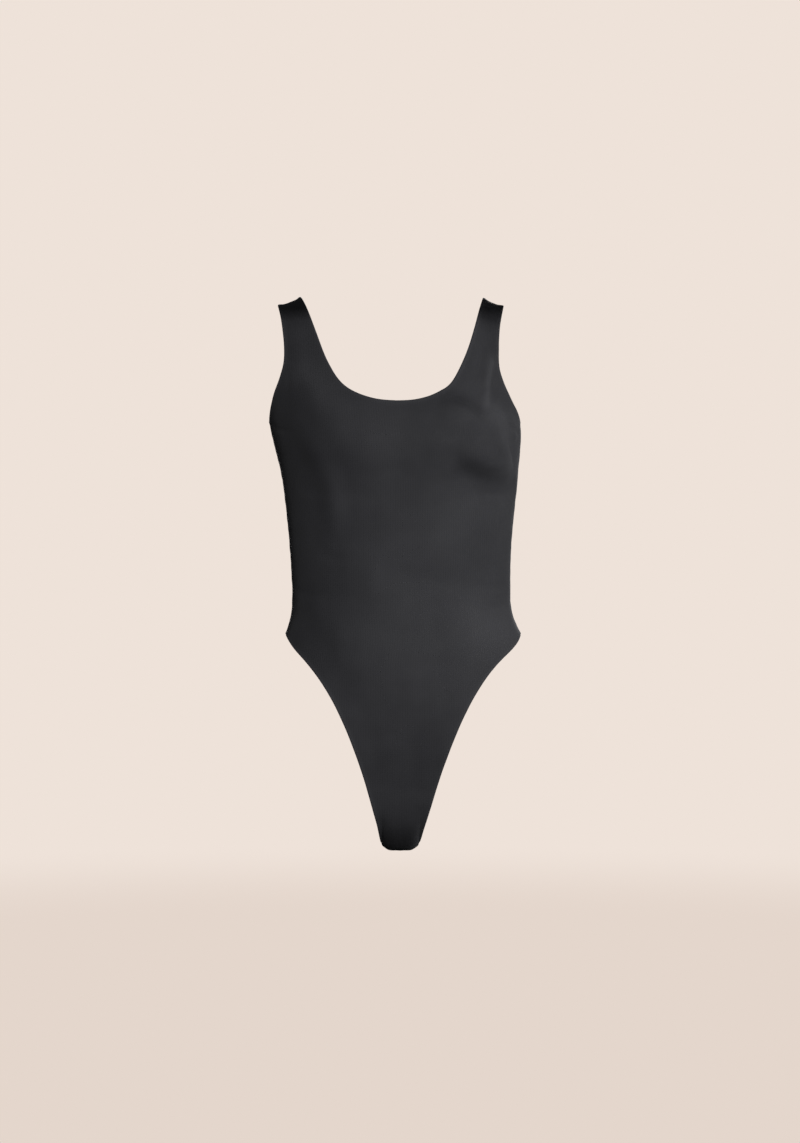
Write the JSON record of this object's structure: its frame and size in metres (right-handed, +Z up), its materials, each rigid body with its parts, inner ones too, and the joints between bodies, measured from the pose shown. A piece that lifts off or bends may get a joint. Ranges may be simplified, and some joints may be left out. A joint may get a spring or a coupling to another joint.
{
  "type": "athletics bodysuit",
  "caption": "Sleeveless bodysuit with a scooped neck, wide straps, cut-in armholes and a very high leg line, filled out as worn and open at neck, arms and legs.",
  "frame": {"origin": "midway between the two shoulder seams at the crest of the straps, where the wearer's shoulders hold them", "axes": "+Z up, the front faces -Y, +X is to the right of someone who looks at the front"},
  "size_m": [0.294, 0.2199, 0.65],
  "materials": {
    "cloth": "matte double jersey with a faint smooth sheen"
  },
  "bodies": {
    "root": {"front_panel": "cloth", "back_panel": "cloth"}
  },
  "joints": []
}
